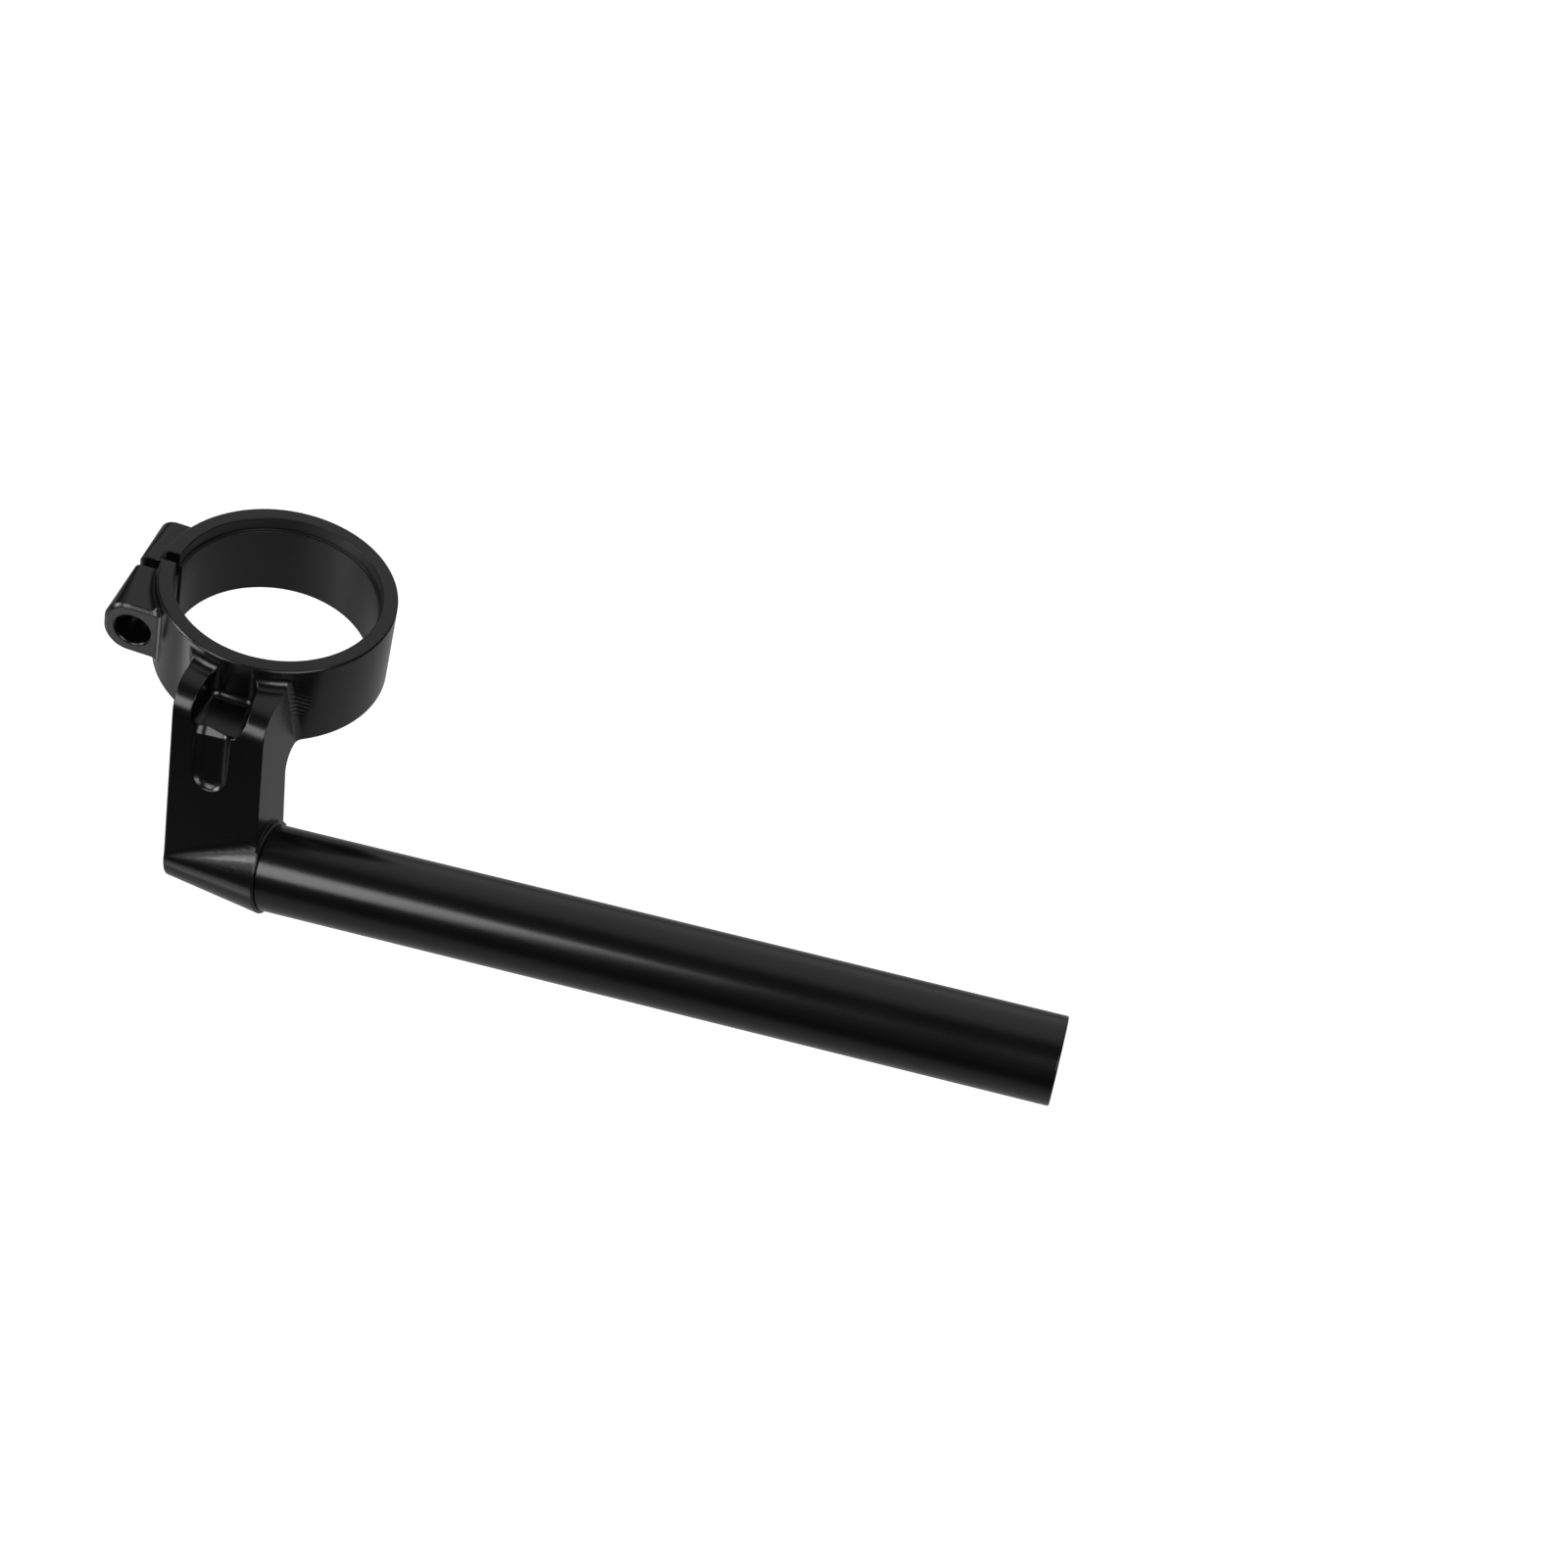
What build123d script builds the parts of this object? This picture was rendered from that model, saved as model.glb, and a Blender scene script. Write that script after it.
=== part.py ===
"""Clip-on handlebar: a split fork clamp with a cranked arm, and the bar tube pressed into its socket.

Millimetres and degrees. The origin is the centre of the fork bore, +Z leaves the recessed face of the
ring, +X is the way the bar runs and the arm hangs to -Y and -Z. Lengths named out are counted from the
ring's wall, and lengths named s run along the bar from a point below the fork's axis.
"""
import os
from math import atan2, cos, pi, radians, sin, sqrt, tan

from build123d import *

# fork ring
bore_d = 50.0
ring_wall = 4.5
ring_h = 24.2
recess_step = 0.7
recess_depth = 4.0
ring_edge = 0.4
bore_edge = 0.4

# pinch ears, their slot and bolt hole
ear_az = 183.0
ear_out_near = 8.1
ear_out_slot = 6.1
ear_out_far = 6.9
ear_down = 4.0
ear_up = 4.6
ear_near = 18.3
ear_far = 15.9
ear_corner_near = 6.5
ear_corner_far = 4.5
ear_corner_slot = 1.2
ear_edge = 0.8
slot_turn = 3.0
slot_w = 3.2
pinch_out = 0.6
pinch_clear_d = 9.0
pinch_tap_d = 6.8
pinch_edge = 0.4

# locating peg on a boss of the ring's wall
peg_az = 104.5
peg_out = 2.6
peg_d = 6.4
peg_proud = 0.2
peg_edge = 0.5
boss_wall = 2.6
boss_h = 12.1
boss_edge = 1.2
relief_depth = 2.0
relief_gap = 0.5
relief_w = 19.0

# bar tube
bar_out = 17.1
bar_drop = 26.4
bar_rise = 9.7
bar_d = 22.0
bar_wall = 4.0
bar_len = 199.7
bar_edge = 0.3
spigot_step = 2.5
spigot_len = 13.0

# arm, drawn on two sections across the bar: its closed end and the socket's mouth
arm_near = -2.75
arm_near_lean = 8.4
arm_far = 21.1
arm_far_lean = 9.1
side_stock = 1.0
shelf_down = 4.5
bend_r = 9.0
front_lean = 17.5
front_in = 0.05
back_lean = 13.0
back_in_near = 0.1
back_in_far = 1.5
root_r = 6.0
foot_r_near = 7.7
foot_step = 0.7
foot_blend_front = 8.0
foot_blend_back = 6.0
collar_proud = 1.4
collar_edge = 0.4

# pocket milled in the shelf, and the trough that runs down the front from it
pocket_x0 = -4.6
pocket_x0_ring = -3.8
pocket_x1 = 9.8
pocket_x1_ring = 7.6
pocket_out = 13.3
pocket_floor = -1.0
pocket_tilt = 5.0
pocket_corner = 2.6
pocket_in = 0.1
pocket_fillet = 2.3
trough_s = 8.2
trough_w = 10.2
trough_end = 20.4
trough_depth = 0.7
trough_fillet = 3.2
trough_tilt = 4.4
lip_s = 35.6
lip_tilt = 29.0

# blends
arm_ring_fillet = 2.8
ear_ring_fillet = 2.4
boss_fillet = 3.0

# how far limbs start inside the ring's wall, and how far cutters run past what they cut
limb_in = 12.0
cut_past = 5.0

bore_r = bore_d / 2
ring_r = bore_r + ring_wall
half_h = ring_h / 2
bar_r = bar_d / 2
spigot_r = bar_r - spigot_step
tube_r = bar_r - bar_wall
mouth = arm_far + collar_proud
bar_end = mouth + bar_len
socket_end = mouth - spigot_len
foot_r_far = bar_r + foot_step
front_off = foot_r_near - front_in
back_off_near = foot_r_near - back_in_near
back_off_far = foot_r_far - back_in_far
foot_taper = (foot_r_far - foot_r_near) / (arm_far - arm_near)

rise = radians(bar_rise)
axis = Vector(cos(rise), 0, sin(rise))
foot = Vector(0, -ring_r - bar_out, -half_h - bar_drop)


def bar_plane(s, lean=bar_rise):
    """Plane across the bar, s mm along it: x is part Y, y is up, z is along the bar."""
    lean = radians(lean)
    return Plane(origin=foot + axis * s, x_dir=(0, 1, 0), z_dir=(cos(lean), 0, sin(lean)))


def along_bar(s0, r0, s1, r1):
    """Round piece on the bar's line from s0 to s1, of radius r0 at its start and r1 at its end."""
    body = Cylinder(r0, s1 - s0) if r0 == r1 else Cone(r0, r1, s1 - s0)
    return bar_plane((s0 + s1) / 2) * body


def arc(centre, r, a0, a1):
    """Arc about a centre from angle a0 to a1, radians."""
    def at(a):
        return (centre[0] + r * cos(a), centre[1] + r * sin(a))
    return ThreePointArc(at(a0), at((a0 + a1) / 2), at(a1))


def arm_section(s, foot_r, back_off):
    """The arm's outline s mm along the bar: shelf, bend, front, foot, back and root."""
    z0 = foot.Z + s * sin(rise)
    w_shelf = (half_h - shelf_down - z0) / cos(rise)
    w_under = (-half_h - z0) / cos(rise)
    y_in = bar_out + limb_in
    fl = radians(front_lean)
    bl = radians(back_lean)

    # front face line: outward normal (-cos, sin), running up along (sin, cos)
    def front(t):
        return (-front_off * cos(fl) + t * sin(fl), front_off * sin(fl) + t * cos(fl))

    # back face line: outward normal (cos, -sin), running up along (sin, cos)
    def back(t):
        return (back_off * cos(bl) + t * sin(bl), -back_off * sin(bl) + t * cos(bl))

    # convex bend between the shelf and the front
    bend_c_t = (w_shelf - bend_r - (front_off - bend_r) * sin(fl)) / cos(fl)
    bend_c = (-(front_off - bend_r) * cos(fl) + bend_c_t * sin(fl), w_shelf - bend_r)
    # hollow between the front and the round foot
    tf = sqrt((foot_r + foot_blend_front) ** 2 - (front_off + foot_blend_front) ** 2)
    cf = (-(front_off + foot_blend_front) * cos(fl) + tf * sin(fl),
          (front_off + foot_blend_front) * sin(fl) + tf * cos(fl))
    # hollow between the back and the round foot
    tb = sqrt((foot_r + foot_blend_back) ** 2 - (back_off + foot_blend_back) ** 2)
    cb = ((back_off + foot_blend_back) * cos(bl) + tb * sin(bl),
          -(back_off + foot_blend_back) * sin(bl) + tb * cos(bl))
    # hollow root under the ring
    root_c_t = (w_under - root_r + (back_off + root_r) * sin(bl)) / cos(bl)
    root_c = ((back_off + root_r) * cos(bl) + root_c_t * sin(bl), w_under - root_r)

    a_cf = atan2(cf[1], cf[0])
    a_cb = atan2(cb[1], cb[0])
    edges = [
        Line((y_in, w_shelf), (bend_c[0], w_shelf)),
        arc(bend_c, bend_r, pi / 2, pi - fl),
        Line(front(bend_c_t), front(tf)),
        arc(cf, foot_blend_front, -fl, a_cf - pi),
        arc((0, 0), foot_r, a_cf, pi - fl),
        arc((0, 0), foot_r, pi - fl, 2 * pi - bl),
        arc((0, 0), foot_r, 2 * pi - bl, a_cb + 2 * pi),
        arc(cb, foot_blend_back, a_cb + pi, pi - bl),
        Line(back(tb), back(root_c_t)),
        arc(root_c, root_r, pi - bl, pi / 2),
        Line((root_c[0], w_under), (y_in, w_under)),
        Line((y_in, w_under), (y_in, w_shelf)),
    ]
    return bar_plane(s) * make_face(Wire(edges))


# ring, still solid
ring = Cylinder(ring_r, ring_h)
ring = chamfer(ring.edges().sort_by(Axis.Z)[-1], ring_edge)

# arm: a ruled body between its closed end and the socket's mouth, its sides then milled flat
foot_r_mouth = foot_r_far + collar_proud * foot_taper
stock = loft([arm_section(arm_near - side_stock, foot_r_near, back_off_near),
              arm_section(mouth, foot_r_mouth, back_off_far)], ruled=True)
stock = split(stock, bisect_by=bar_plane(arm_near, arm_near_lean), keep=Keep.TOP)
arm = split(stock, bisect_by=bar_plane(arm_far, arm_far_lean), keep=Keep.BOTTOM)

# collar round the socket's mouth, left standing proud of the milled side
collar = along_bar(arm_near, foot_r_mouth, mouth - collar_edge, foot_r_mouth)
collar = collar + along_bar(mouth - collar_edge, foot_r_mouth, mouth, foot_r_mouth - collar_edge)
arm = arm + (stock & collar)

# cutter of the pocket: it narrows up to the ring's wall, skims it, and its floor falls away from there
pocket_y = -ring_r - pocket_out
narrowing = (pocket_out + limb_in) / pocket_out
pocket_plan = Polygon((pocket_x0, pocket_y), (pocket_x1, pocket_y),
                      (pocket_x1 + (pocket_x1_ring - pocket_x1) * narrowing, limb_in - ring_r),
                      (pocket_x0 + (pocket_x0_ring - pocket_x0) * narrowing, limb_in - ring_r), align=None)
pocket_plan = fillet((pocket_plan - Circle(ring_r - pocket_in)).vertices(), pocket_corner)
pocket = extrude(Pos(0, 0, -ring_h) * pocket_plan, 2 * ring_h)
pocket_lean = radians(pocket_tilt)
pocket_base = Plane(origin=(0, pocket_y, pocket_floor), z_dir=(0, -sin(pocket_lean), cos(pocket_lean)))
pocket = split(pocket, bisect_by=pocket_base, keep=Keep.TOP)
pocket = fillet(pocket.faces().sort_by(Axis.Z)[0].edges(), pocket_fillet)

# the trough's cutter is a round-ended slot laid on the front face; a short one, tilted more, makes the lip
front_lean_rad = radians(front_lean)
front_n = Vector(-sin(rise) * sin(front_lean_rad), -cos(front_lean_rad), cos(rise) * sin(front_lean_rad))
front_plane = Plane(origin=foot + axis * trough_s + front_n * front_off, x_dir=axis, z_dir=front_n)
trough_r = trough_w / 2
lip_depth = trough_depth + (lip_s - trough_end) * tan(radians(trough_tilt))


def slot_cutter(run):
    """Slot with a round start and a rounded floor, its straight sides run mm long."""
    plan = Pos(0, trough_r) * Circle(trough_r) + Pos(0, trough_r + run / 2) * Rectangle(trough_w, run)
    cutter = extrude(plan, ring_h)
    return fillet(cutter.faces().sort_by(Axis.Z)[0].edges(), trough_fillet)


trough = front_plane * Pos(0, trough_end, -trough_depth) * Rot(X=-trough_tilt) * slot_cutter(bar_drop)
lip = front_plane * Pos(0, lip_s, -lip_depth) * Rot(X=-lip_tilt) * Pos(0, -trough_w) * slot_cutter(trough_w)

# pinch ears, one bar that the slot parts in two: x is out of the ring, y is up, z is along the bolt
ear_turn = radians(ear_az)
ear_h = ring_h - ear_down - ear_up
ear_mid = (ear_up - ear_down) / 2
ear_plane = Plane(origin=(0, 0, 0), x_dir=(cos(ear_turn), sin(ear_turn), 0),
                  z_dir=(sin(ear_turn), -cos(ear_turn), 0))
pinch_r = ring_r + pinch_out
ear_split = -pinch_r * sin(radians(slot_turn))


def ear_section(z, ear_out, low_corner, top_corner, inset=0.0):
    """Section of the ears z mm along the bolt, with its two outer corners rounded."""
    start = ring_r - limb_in
    reach = ring_r + ear_out - inset
    plan = Pos((start + reach) / 2, ear_mid) * Rectangle(reach - start, ear_h - 2 * inset)
    plan = fillet(plan.vertices().group_by(Axis.X)[-1].sort_by(Axis.Y)[0], low_corner - inset)
    plan = fillet(plan.vertices().group_by(Axis.X)[-1].sort_by(Axis.Y)[-1], top_corner - inset)
    return Pos(0, 0, z) * plan


# the sections run from the bevelled near end, through the slot, to the bevelled far end
near_form = (ear_out_near, ear_corner_near, ear_corner_near)
split_form = (ear_out_slot, ear_corner_slot, ear_corner_slot)
far_form = (ear_out_far, ear_corner_slot, ear_corner_far)
ears = ear_plane * loft([ear_section(-ear_near, *near_form, ear_edge),
                         ear_section(-ear_near + ear_edge, *near_form),
                         ear_section(ear_split, *split_form),
                         ear_section(ear_far - ear_edge, *far_form),
                         ear_section(ear_far, *far_form, ear_edge)], ruled=True)

# locating peg, its boss and the relief milled round it
peg_turn = radians(peg_az)
peg_dir = Vector(cos(peg_turn), sin(peg_turn), 0)
peg_at = peg_dir * (ring_r + peg_out)
peg_r = peg_d / 2
peg_h = relief_depth + peg_proud
peg = Cylinder(peg_r, peg_h)
peg = chamfer(peg.edges().sort_by(Axis.Z)[0], peg_edge)
peg = Pos(peg_at.X, peg_at.Y, -half_h + relief_depth - peg_h / 2) * peg
boss_r = peg_r + boss_wall
boss_plan = Circle(ring_r) + Pos(peg_at.X, peg_at.Y) * Circle(boss_r)
boss_plan = fillet(boss_plan.vertices().sort_by_distance(peg_at)[:2], boss_fillet)
boss = extrude(Pos(0, 0, -half_h) * boss_plan, boss_h)
boss = chamfer(boss.faces().sort_by(Axis.Z)[-1].edges(), boss_edge)
relief_in = ring_r + peg_out - peg_r - relief_gap
relief_len = 2 * peg_d + boss_wall + cut_past
relief_plane = Plane(origin=(0, 0, -half_h), x_dir=peg_dir, z_dir=(0, 0, 1))
relief = relief_plane * Pos(relief_in + relief_len / 2, 0, 0) * Box(relief_len, relief_w, 2 * relief_depth)

# the forging: each limb is joined to the ring and blended into it, the arm down to the ring's lower face
bossed = ring + boss
upper_arm = split(arm, bisect_by=Plane.XY.offset(-half_h), keep=Keep.TOP)
clamp = bossed + upper_arm
clamp = fillet(new_edges(bossed, upper_arm, combined=clamp), arm_ring_fillet) + arm
joined = clamp + ears
clamp = fillet(new_edges(clamp, ears, combined=joined), ear_ring_fillet)
clamp = clamp - relief + peg

# milling: the pocket up to the ring's wall, the trough and the lip between them
clamp = clamp - pocket - trough - lip

# fork bore, its lower edge, the recess and the slot
clamp = clamp - Cylinder(bore_r, ring_h + 2 * cut_past)
clamp = clamp - Pos(0, 0, -half_h + bore_edge / 2) * Cone(bore_r + bore_edge, bore_r, bore_edge)
recess_h = recess_depth + cut_past
clamp = clamp - Pos(0, 0, half_h - recess_depth + recess_h / 2) * Cylinder(bore_r + recess_step, recess_h)
slot_len = ring_r + ear_out_near + cut_past
clamp = clamp - Rot(Z=ear_az + slot_turn) * Pos(slot_len / 2, 0, 0) * Box(slot_len, slot_w, 2 * ring_h)

# pinch hole: clear up to the slot, tapped beyond it
clear_r = pinch_clear_d / 2
tap_r = pinch_tap_d / 2
clear_len = ear_near + ear_split + cut_past
tap_len = ear_far - ear_split + cut_past
pinch = ear_plane * Pos(pinch_r, ear_mid, 0)
clamp = clamp - pinch * Pos(0, 0, ear_split - clear_len / 2) * Cylinder(clear_r, clear_len)
clamp = clamp - pinch * Pos(0, 0, ear_split + tap_len / 2) * Cylinder(tap_r, tap_len)
near_mouth = Pos(0, 0, -ear_near + pinch_edge / 2) * Cone(clear_r + pinch_edge, clear_r, pinch_edge)
far_mouth = Pos(0, 0, ear_far - pinch_edge / 2) * Cone(tap_r, tap_r + pinch_edge, pinch_edge)
clamp = clamp - pinch * near_mouth - pinch * far_mouth

# blind socket of the bar
clamp = clamp - along_bar(socket_end, spigot_r, mouth + cut_past, spigot_r)

# bar tube, its shoulder on the mouth and its spigot down to the socket's floor
bar = along_bar(mouth, bar_r, bar_end - bar_edge, bar_r)
bar = bar + along_bar(bar_end - bar_edge, bar_r, bar_end, bar_r - bar_edge)
bar = bar + along_bar(socket_end, spigot_r, mouth, spigot_r)
bar = bar - along_bar(socket_end, tube_r, bar_end, tube_r)
bar = bar - along_bar(bar_end - bar_edge, tube_r, bar_end, tube_r + bar_edge)

clamp.label = "fork_clamp"
bar.label = "bar_tube"
os.makedirs("parts", exist_ok=True)
export_step(clamp, "parts/fork_clamp.step")
export_step(bar, "parts/bar_tube.step")
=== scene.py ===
"""Clip-on handlebar, satin black: a split fork clamp with a cranked arm, and the bar tube in its socket."""

from math import radians

import bmesh
import bpy
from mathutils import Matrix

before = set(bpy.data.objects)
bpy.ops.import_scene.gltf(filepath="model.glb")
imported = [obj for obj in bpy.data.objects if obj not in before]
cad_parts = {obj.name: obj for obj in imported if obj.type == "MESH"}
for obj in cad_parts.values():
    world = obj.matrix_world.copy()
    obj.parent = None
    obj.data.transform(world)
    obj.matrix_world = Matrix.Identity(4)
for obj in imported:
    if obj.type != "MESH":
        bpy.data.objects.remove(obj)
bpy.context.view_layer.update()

# Fork clamp: one aluminium forging, milled on its ring, ears, shelf and pocket, then glass beaded
# and anodised black. The beads leave a fine satin and take the sharpness off the edges.
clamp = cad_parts["fork_clamp"]
clamp_black = (0.0014, 0.0014, 0.0015, 1)
clamp_gloss = 0.23
clamp_edge = 0.0006

# Satin of beaded and dyed metal, which clamp and bar share: slow clouds in the dye and the gloss,
# a fine grain, and edges rounded a little.
cloud_scale = 55.0
cloud_detail = 5.0
cloud_dye = (0.82, 1.18)
cloud_gloss = 0.025
grain_scale = 4000.0
grain_detail = 2.0
grain_depth = 0.00002
grain_strength = 0.1
edge_samples = 8
satin = bpy.data.node_groups.new("anodised_satin", "ShaderNodeTree")
for socket, kind in (("Colour", "NodeSocketColor"),
                     ("Gloss", "NodeSocketFloat"),
                     ("Edge", "NodeSocketFloat")):
    satin.interface.new_socket(socket, in_out="INPUT", socket_type=kind)
for socket, kind in (("Colour", "NodeSocketColor"),
                     ("Roughness", "NodeSocketFloat"),
                     ("Normal", "NodeSocketVector")):
    satin.interface.new_socket(socket, in_out="OUTPUT", socket_type=kind)
given = satin.nodes.new("NodeGroupInput")
result = satin.nodes.new("NodeGroupOutput")
satin_place = satin.nodes.new("ShaderNodeTexCoord")
clouds = satin.nodes.new("ShaderNodeTexNoise")
clouds.inputs["Scale"].default_value = cloud_scale
clouds.inputs["Detail"].default_value = cloud_detail
grain = satin.nodes.new("ShaderNodeTexNoise")
grain.inputs["Scale"].default_value = grain_scale
grain.inputs["Detail"].default_value = grain_detail
shade = satin.nodes.new("ShaderNodeMapRange")
shade.inputs["To Min"].default_value = cloud_dye[0]
shade.inputs["To Max"].default_value = cloud_dye[1]
dye = satin.nodes.new("ShaderNodeVectorMath")
dye.operation = "SCALE"
polish = satin.nodes.new("ShaderNodeMapRange")
polish.inputs["To Min"].default_value = -cloud_gloss
polish.inputs["To Max"].default_value = cloud_gloss
gloss = satin.nodes.new("ShaderNodeMath")
gloss.operation = "ADD"
soft_edge = satin.nodes.new("ShaderNodeBevel")
soft_edge.samples = edge_samples
bump = satin.nodes.new("ShaderNodeBump")
bump.inputs["Distance"].default_value = grain_depth
bump.inputs["Strength"].default_value = grain_strength
satin.links.new(satin_place.outputs["Object"], clouds.inputs["Vector"])
satin.links.new(satin_place.outputs["Object"], grain.inputs["Vector"])
satin.links.new(clouds.outputs["Fac"], shade.inputs["Value"])
satin.links.new(given.outputs["Colour"], dye.inputs[0])
satin.links.new(shade.outputs["Result"], dye.inputs["Scale"])
satin.links.new(clouds.outputs["Fac"], polish.inputs["Value"])
satin.links.new(given.outputs["Gloss"], gloss.inputs[0])
satin.links.new(polish.outputs["Result"], gloss.inputs[1])
satin.links.new(given.outputs["Edge"], soft_edge.inputs["Radius"])
satin.links.new(grain.outputs["Fac"], bump.inputs["Height"])
satin.links.new(soft_edge.outputs["Normal"], bump.inputs["Normal"])
satin.links.new(dye.outputs["Vector"], result.inputs["Colour"])
satin.links.new(gloss.outputs["Value"], result.inputs["Roughness"])
satin.links.new(bump.outputs["Normal"], result.inputs["Normal"])


def anodised(name, colour, roughness, edge):
    """Black anodised aluminium with its satin; returns the material, its satin node and its shader."""
    film_shine = 0.28
    finish = bpy.data.materials.new(name)
    finish.use_nodes = True
    shader = finish.node_tree.nodes["Principled BSDF"]
    shader.inputs["Specular IOR Level"].default_value = film_shine
    surface = finish.node_tree.nodes.new("ShaderNodeGroup")
    surface.node_tree = satin
    surface.inputs["Colour"].default_value = colour
    surface.inputs["Gloss"].default_value = roughness
    surface.inputs["Edge"].default_value = edge
    finish.node_tree.links.new(surface.outputs["Colour"], shader.inputs["Base Color"])
    finish.node_tree.links.new(surface.outputs["Roughness"], shader.inputs["Roughness"])
    finish.node_tree.links.new(surface.outputs["Normal"], shader.inputs["Normal"])
    return finish, surface, shader


clamp_finish, clamp_satin, clamp_shader = anodised("clamp_satin_black", clamp_black, clamp_gloss, clamp_edge)

# Fork bore: it is turned to size after beading, so its wall is duller than the rest of the clamp.
# The radius takes in the recess at the top, and stays inside the ring's outer wall.
bore_wall = 0.0259
bore_dull = 0.16
clamp_tree = clamp_finish.node_tree
clamp_place = clamp_tree.nodes.new("ShaderNodeTexCoord")
flat_place = clamp_tree.nodes.new("ShaderNodeVectorMath")
flat_place.operation = "MULTIPLY"
flat_place.inputs[1].default_value = (1, 1, 0)
from_axis = clamp_tree.nodes.new("ShaderNodeVectorMath")
from_axis.operation = "LENGTH"
in_bore = clamp_tree.nodes.new("ShaderNodeMath")
in_bore.operation = "LESS_THAN"
in_bore.inputs[1].default_value = bore_wall
duller = clamp_tree.nodes.new("ShaderNodeMath")
duller.operation = "MULTIPLY_ADD"
duller.inputs[1].default_value = bore_dull
clamp_tree.links.new(clamp_place.outputs["Object"], flat_place.inputs[0])
clamp_tree.links.new(flat_place.outputs["Vector"], from_axis.inputs[0])
clamp_tree.links.new(from_axis.outputs["Value"], in_bore.inputs[0])
clamp_tree.links.new(in_bore.outputs["Value"], duller.inputs[0])
clamp_tree.links.new(clamp_satin.outputs["Roughness"], duller.inputs[2])
clamp_tree.links.new(duller.outputs["Value"], clamp_shader.inputs["Roughness"])

# Tool marks: the ball cutter that rounds the arm's side into the ring leaves a column of short steps,
# and the belt that blends the foot into the collar leaves streaks along the bar. The marks have their full
# depth within a share of their reach, and a wave texture of scale 1 has bands 0.314 m apart.
step_spot = (0.0152, -0.0252, 0.0008)
step_reach = 0.0056
step_pitch = 0.0011
step_slant = -32
step_waver = 1.5
step_waver_scale = 2.0
step_depth = 0.00010
streak_spot = (0.0150, -0.0530, -0.0275)
streak_reach = 0.0100
streak_rise = 9.5
streak_stretch = (110, 1500, 1500)
streak_detail = 2.0
streak_depth = 0.00004
full_share = 0.4
plain_band = 0.314
step_way = clamp_tree.nodes.new("ShaderNodeMapping")
step_way.inputs["Rotation"].default_value = (0, radians(step_slant), 0)
steps = clamp_tree.nodes.new("ShaderNodeTexWave")
steps.bands_direction = "Z"
steps.inputs["Scale"].default_value = plain_band / step_pitch
steps.inputs["Distortion"].default_value = step_waver
steps.inputs["Detail Scale"].default_value = step_waver_scale
streak_way = clamp_tree.nodes.new("ShaderNodeMapping")
streak_way.inputs["Rotation"].default_value = (0, radians(streak_rise), 0)
streak_way.inputs["Scale"].default_value = streak_stretch
streaks = clamp_tree.nodes.new("ShaderNodeTexNoise")
streaks.inputs["Scale"].default_value = 1.0
streaks.inputs["Detail"].default_value = streak_detail
clamp_tree.links.new(clamp_place.outputs["Object"], step_way.inputs["Vector"])
clamp_tree.links.new(step_way.outputs["Vector"], steps.inputs["Vector"])
clamp_tree.links.new(clamp_place.outputs["Object"], streak_way.inputs["Vector"])
clamp_tree.links.new(streak_way.outputs["Vector"], streaks.inputs["Vector"])
worked = clamp_satin.outputs["Normal"]
for marks, spot, reach, depth in ((steps.outputs["Fac"], step_spot, step_reach, step_depth),
                                  (streaks.outputs["Fac"], streak_spot, streak_reach, streak_depth)):
    away = clamp_tree.nodes.new("ShaderNodeVectorMath")
    away.operation = "DISTANCE"
    away.inputs[1].default_value = spot
    fade = clamp_tree.nodes.new("ShaderNodeMapRange")
    fade.interpolation_type = "SMOOTHSTEP"
    fade.inputs["From Min"].default_value = reach
    fade.inputs["From Max"].default_value = reach * full_share
    cut = clamp_tree.nodes.new("ShaderNodeBump")
    cut.inputs["Distance"].default_value = depth
    clamp_tree.links.new(clamp_place.outputs["Object"], away.inputs[0])
    clamp_tree.links.new(away.outputs["Value"], fade.inputs["Value"])
    clamp_tree.links.new(fade.outputs["Result"], cut.inputs["Strength"])
    clamp_tree.links.new(marks, cut.inputs["Height"])
    clamp_tree.links.new(worked, cut.inputs["Normal"])
    worked = cut.outputs["Normal"]
clamp_tree.links.new(worked, clamp_shader.inputs["Normal"])
clamp.data.materials.clear()
clamp.data.materials.append(clamp_finish)

# Bar: a drawn aluminium tube with a turned spigot, pressed into the arm's socket up to its shoulder.
# It is anodised like the clamp, its grip length is plain and smooth, and its edges are only just broken.
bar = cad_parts["bar_tube"]
bar_black = (0.0018, 0.0018, 0.0019, 1)
bar_gloss = 0.22
bar_edge = 0.0003
bar_finish = anodised("bar_satin_black", bar_black, bar_gloss, bar_edge)[0]
bar.data.materials.clear()
bar.data.materials.append(bar_finish)

# Table: a plain sheet of paper below the part, white to the eye and dimmer in the metal's mirror.
# Its tone and its mirrored glow are painted darker towards the front. This painted shade stands in for the
# unlit front of the room, so that the arm's front and the bar's lower side mirror dark bands.
table_size = 20.0
table_drop = -0.16
paper_grey = 0.28
paper_lift = 0.85
mirror_share = 0.16
front_shade_level = 0.06
front_dark_y = -0.50
front_pale_y = -0.14
sheet = bmesh.new()
bmesh.ops.create_grid(sheet, x_segments=1, y_segments=1, size=table_size)
bmesh.ops.translate(sheet, verts=sheet.verts, vec=(0, 0, table_drop))
table_mesh = bpy.data.meshes.new("table")
sheet.to_mesh(table_mesh)
sheet.free()
table = bpy.data.objects.new("table", table_mesh)
bpy.context.collection.objects.link(table)
table_finish = bpy.data.materials.new("table_white")
table_finish.use_nodes = True
table_tree = table_finish.node_tree
paper = table_tree.nodes["Principled BSDF"]
paper.inputs["Roughness"].default_value = 1.0
paper.inputs["Specular IOR Level"].default_value = 0.0
paper.inputs["Emission Color"].default_value = (1, 1, 1, 1)
paper_tone = table_tree.nodes.new("ShaderNodeVectorMath")
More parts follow.
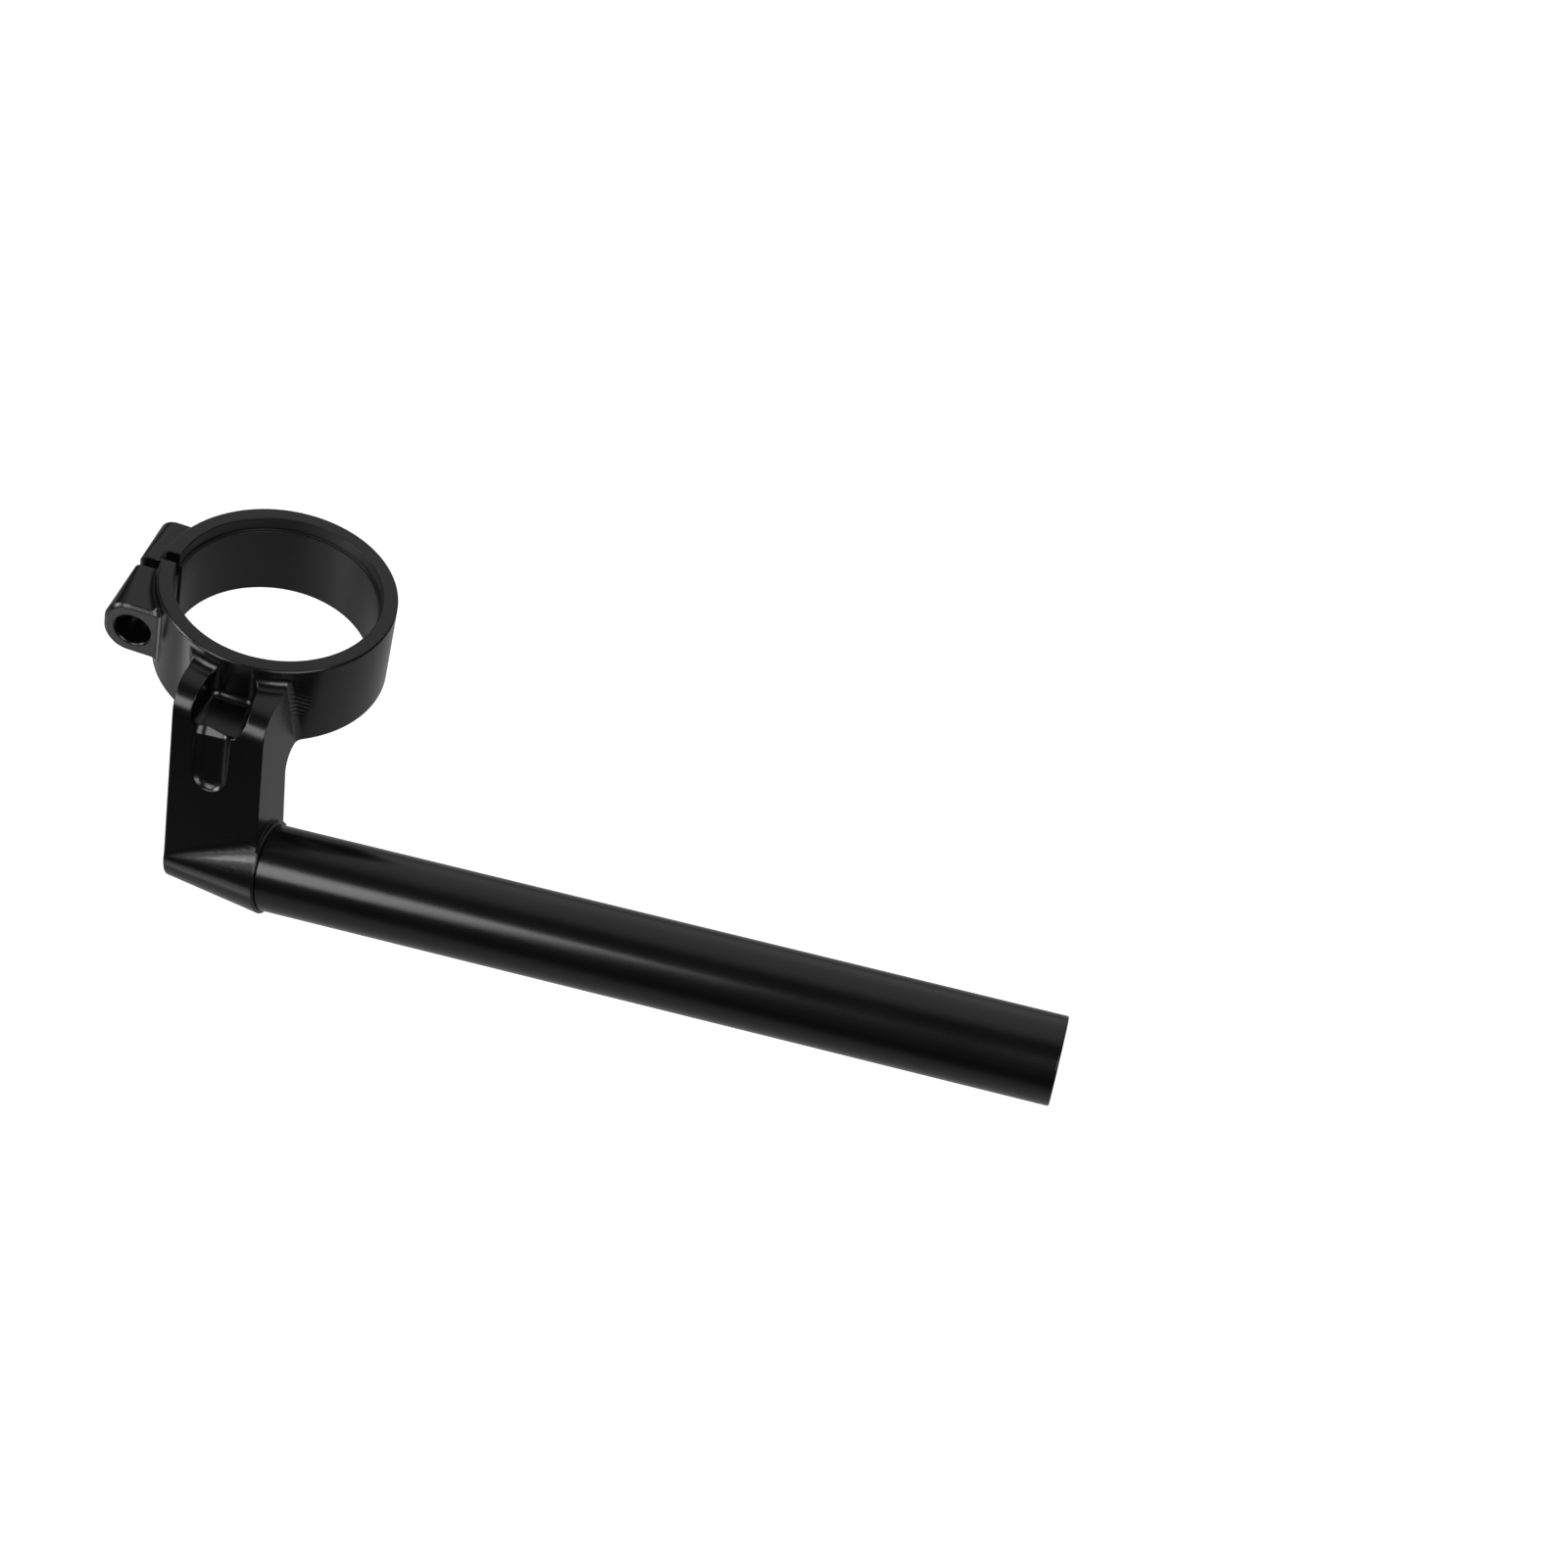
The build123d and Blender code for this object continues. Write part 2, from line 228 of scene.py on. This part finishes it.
paper_tone.operation = "SCALE"
paper_tone.inputs[0].default_value = (paper_grey, paper_grey, paper_grey)
table_place = table_tree.nodes.new("ShaderNodeTexCoord")
table_parts = table_tree.nodes.new("ShaderNodeSeparateXYZ")
# Painted shade: the paper's colour and its mirrored glow fall to a small share towards the front, where the
# room is unlit.
front_painted_shade = table_tree.nodes.new("ShaderNodeMapRange")
front_painted_shade.interpolation_type = "SMOOTHSTEP"
front_painted_shade.inputs["From Min"].default_value = front_dark_y
front_painted_shade.inputs["From Max"].default_value = front_pale_y
front_painted_shade.inputs["To Min"].default_value = front_shade_level
rays = table_tree.nodes.new("ShaderNodeLightPath")
mirrored = table_tree.nodes.new("ShaderNodeMath")
mirrored.operation = "MAXIMUM"
dimmed = table_tree.nodes.new("ShaderNodeMath")
dimmed.operation = "MULTIPLY"
dimmed.inputs[1].default_value = mirror_share
faded = table_tree.nodes.new("ShaderNodeMath")
faded.operation = "MULTIPLY"
in_view = table_tree.nodes.new("ShaderNodeMath")
in_view.operation = "MAXIMUM"
paper_glow = table_tree.nodes.new("ShaderNodeMath")
paper_glow.operation = "MULTIPLY"
paper_glow.inputs[1].default_value = paper_lift
table_tree.links.new(table_place.outputs["Object"], table_parts.inputs["Vector"])
table_tree.links.new(table_parts.outputs["Y"], front_painted_shade.inputs["Value"])
table_tree.links.new(rays.outputs["Is Glossy Ray"], mirrored.inputs[0])
table_tree.links.new(rays.outputs["Is Transmission Ray"], mirrored.inputs[1])
table_tree.links.new(mirrored.outputs["Value"], dimmed.inputs[0])
table_tree.links.new(dimmed.outputs["Value"], faded.inputs[0])
table_tree.links.new(front_painted_shade.outputs["Result"], faded.inputs[1])
table_tree.links.new(rays.outputs["Is Camera Ray"], in_view.inputs[0])
table_tree.links.new(faded.outputs["Value"], in_view.inputs[1])
table_tree.links.new(in_view.outputs["Value"], paper_glow.inputs[0])
table_tree.links.new(paper_glow.outputs["Value"], paper.inputs["Emission Strength"])
table_tree.links.new(front_painted_shade.outputs["Result"], paper_tone.inputs["Scale"])
table_tree.links.new(paper_tone.outputs["Vector"], paper.inputs["Base Color"])
table.data.materials.append(table_finish)

# Studio: a dim room with a wide pale window high at the back, whose mirror image lights the flat tops.
# The window is brightest in the middle and fades out to the room.
room = 0.08
window = 0.88
window_way = (0, 0.68, 0.73)
window_rim = 0.55
window_core = 0.92
studio = bpy.data.worlds.new("studio")
bpy.context.scene.world = studio
studio.use_nodes = True
studio_tree = studio.node_tree
glow = studio_tree.nodes["Background"]
glow.inputs["Color"].default_value = (1, 1, 1, 1)
way = studio_tree.nodes.new("ShaderNodeTexCoord")
facing = studio_tree.nodes.new("ShaderNodeVectorMath")
facing.operation = "DOT_PRODUCT"
facing.inputs[1].default_value = window_way
spread = studio_tree.nodes.new("ShaderNodeMapRange")
spread.interpolation_type = "SMOOTHSTEP"
spread.inputs["From Min"].default_value = window_rim
spread.inputs["From Max"].default_value = window_core
spread.inputs["To Min"].default_value = room
spread.inputs["To Max"].default_value = room + window
studio_tree.links.new(way.outputs["Generated"], facing.inputs[0])
studio_tree.links.new(facing.outputs["Value"], spread.inputs["Value"])
studio_tree.links.new(spread.outputs["Result"], glow.inputs["Strength"])

# Lamps: soft boxes at the front left, left and front right, which draw the highlights on the rounds,
# and two small low panels that light the near ear and the ring's wall from below. Each has a place,
# a tilt and a turn in degrees, a width, a height and a power.
for lamp_name, lamp_place, turn, wide, high, power in (
        ("strip_left", (-0.42, -0.77, 0.50), (58.5, -31.2), 0.44, 0.47, 5.9),
        ("box_left", (-0.86, -0.40, 0.35), (68.0, -67.0), 0.30, 0.36, 7.0),
        ("card_left", (-0.170, -0.108, -0.155), (180.0, 0.0), 0.09, 0.06, 0.055),
        ("card_near", (-0.078, -0.190, -0.155), (180.0, 0.0), 0.06, 0.07, 0.025),
        ("box_right", (0.58, -0.62, 0.58), (55.0, 45.0), 0.72, 0.42, 8.0)):
    panel = bpy.data.lights.new(lamp_name, "AREA")
    panel.shape = "RECTANGLE"
    panel.size = wide
    panel.size_y = high
    panel.energy = power
    lamp = bpy.data.objects.new(lamp_name, panel)
    bpy.context.collection.objects.link(lamp)
    lamp.location = lamp_place
    lamp.rotation_euler = (radians(turn[0]), 0, radians(turn[1]))

# Camera: above and to the right of the clamp, looking down over the ring along the arm.
# Its lens, place and turn were fitted to the photo.
sensor_width = 36.0
focal_length = 54.786
camera_place = (0.137927, -0.422098, 0.428222)
camera_turn = (43.4016, -13.8980, 14.6970)
lens = bpy.data.cameras.new("camera")
lens.sensor_width = sensor_width
lens.lens = focal_length
camera = bpy.data.objects.new("camera", lens)
bpy.context.collection.objects.link(camera)
camera.location = camera_place
camera.rotation_euler = [radians(angle) for angle in camera_turn]
bpy.context.scene.camera = camera
bpy.context.scene.view_settings.view_transform = "Standard"
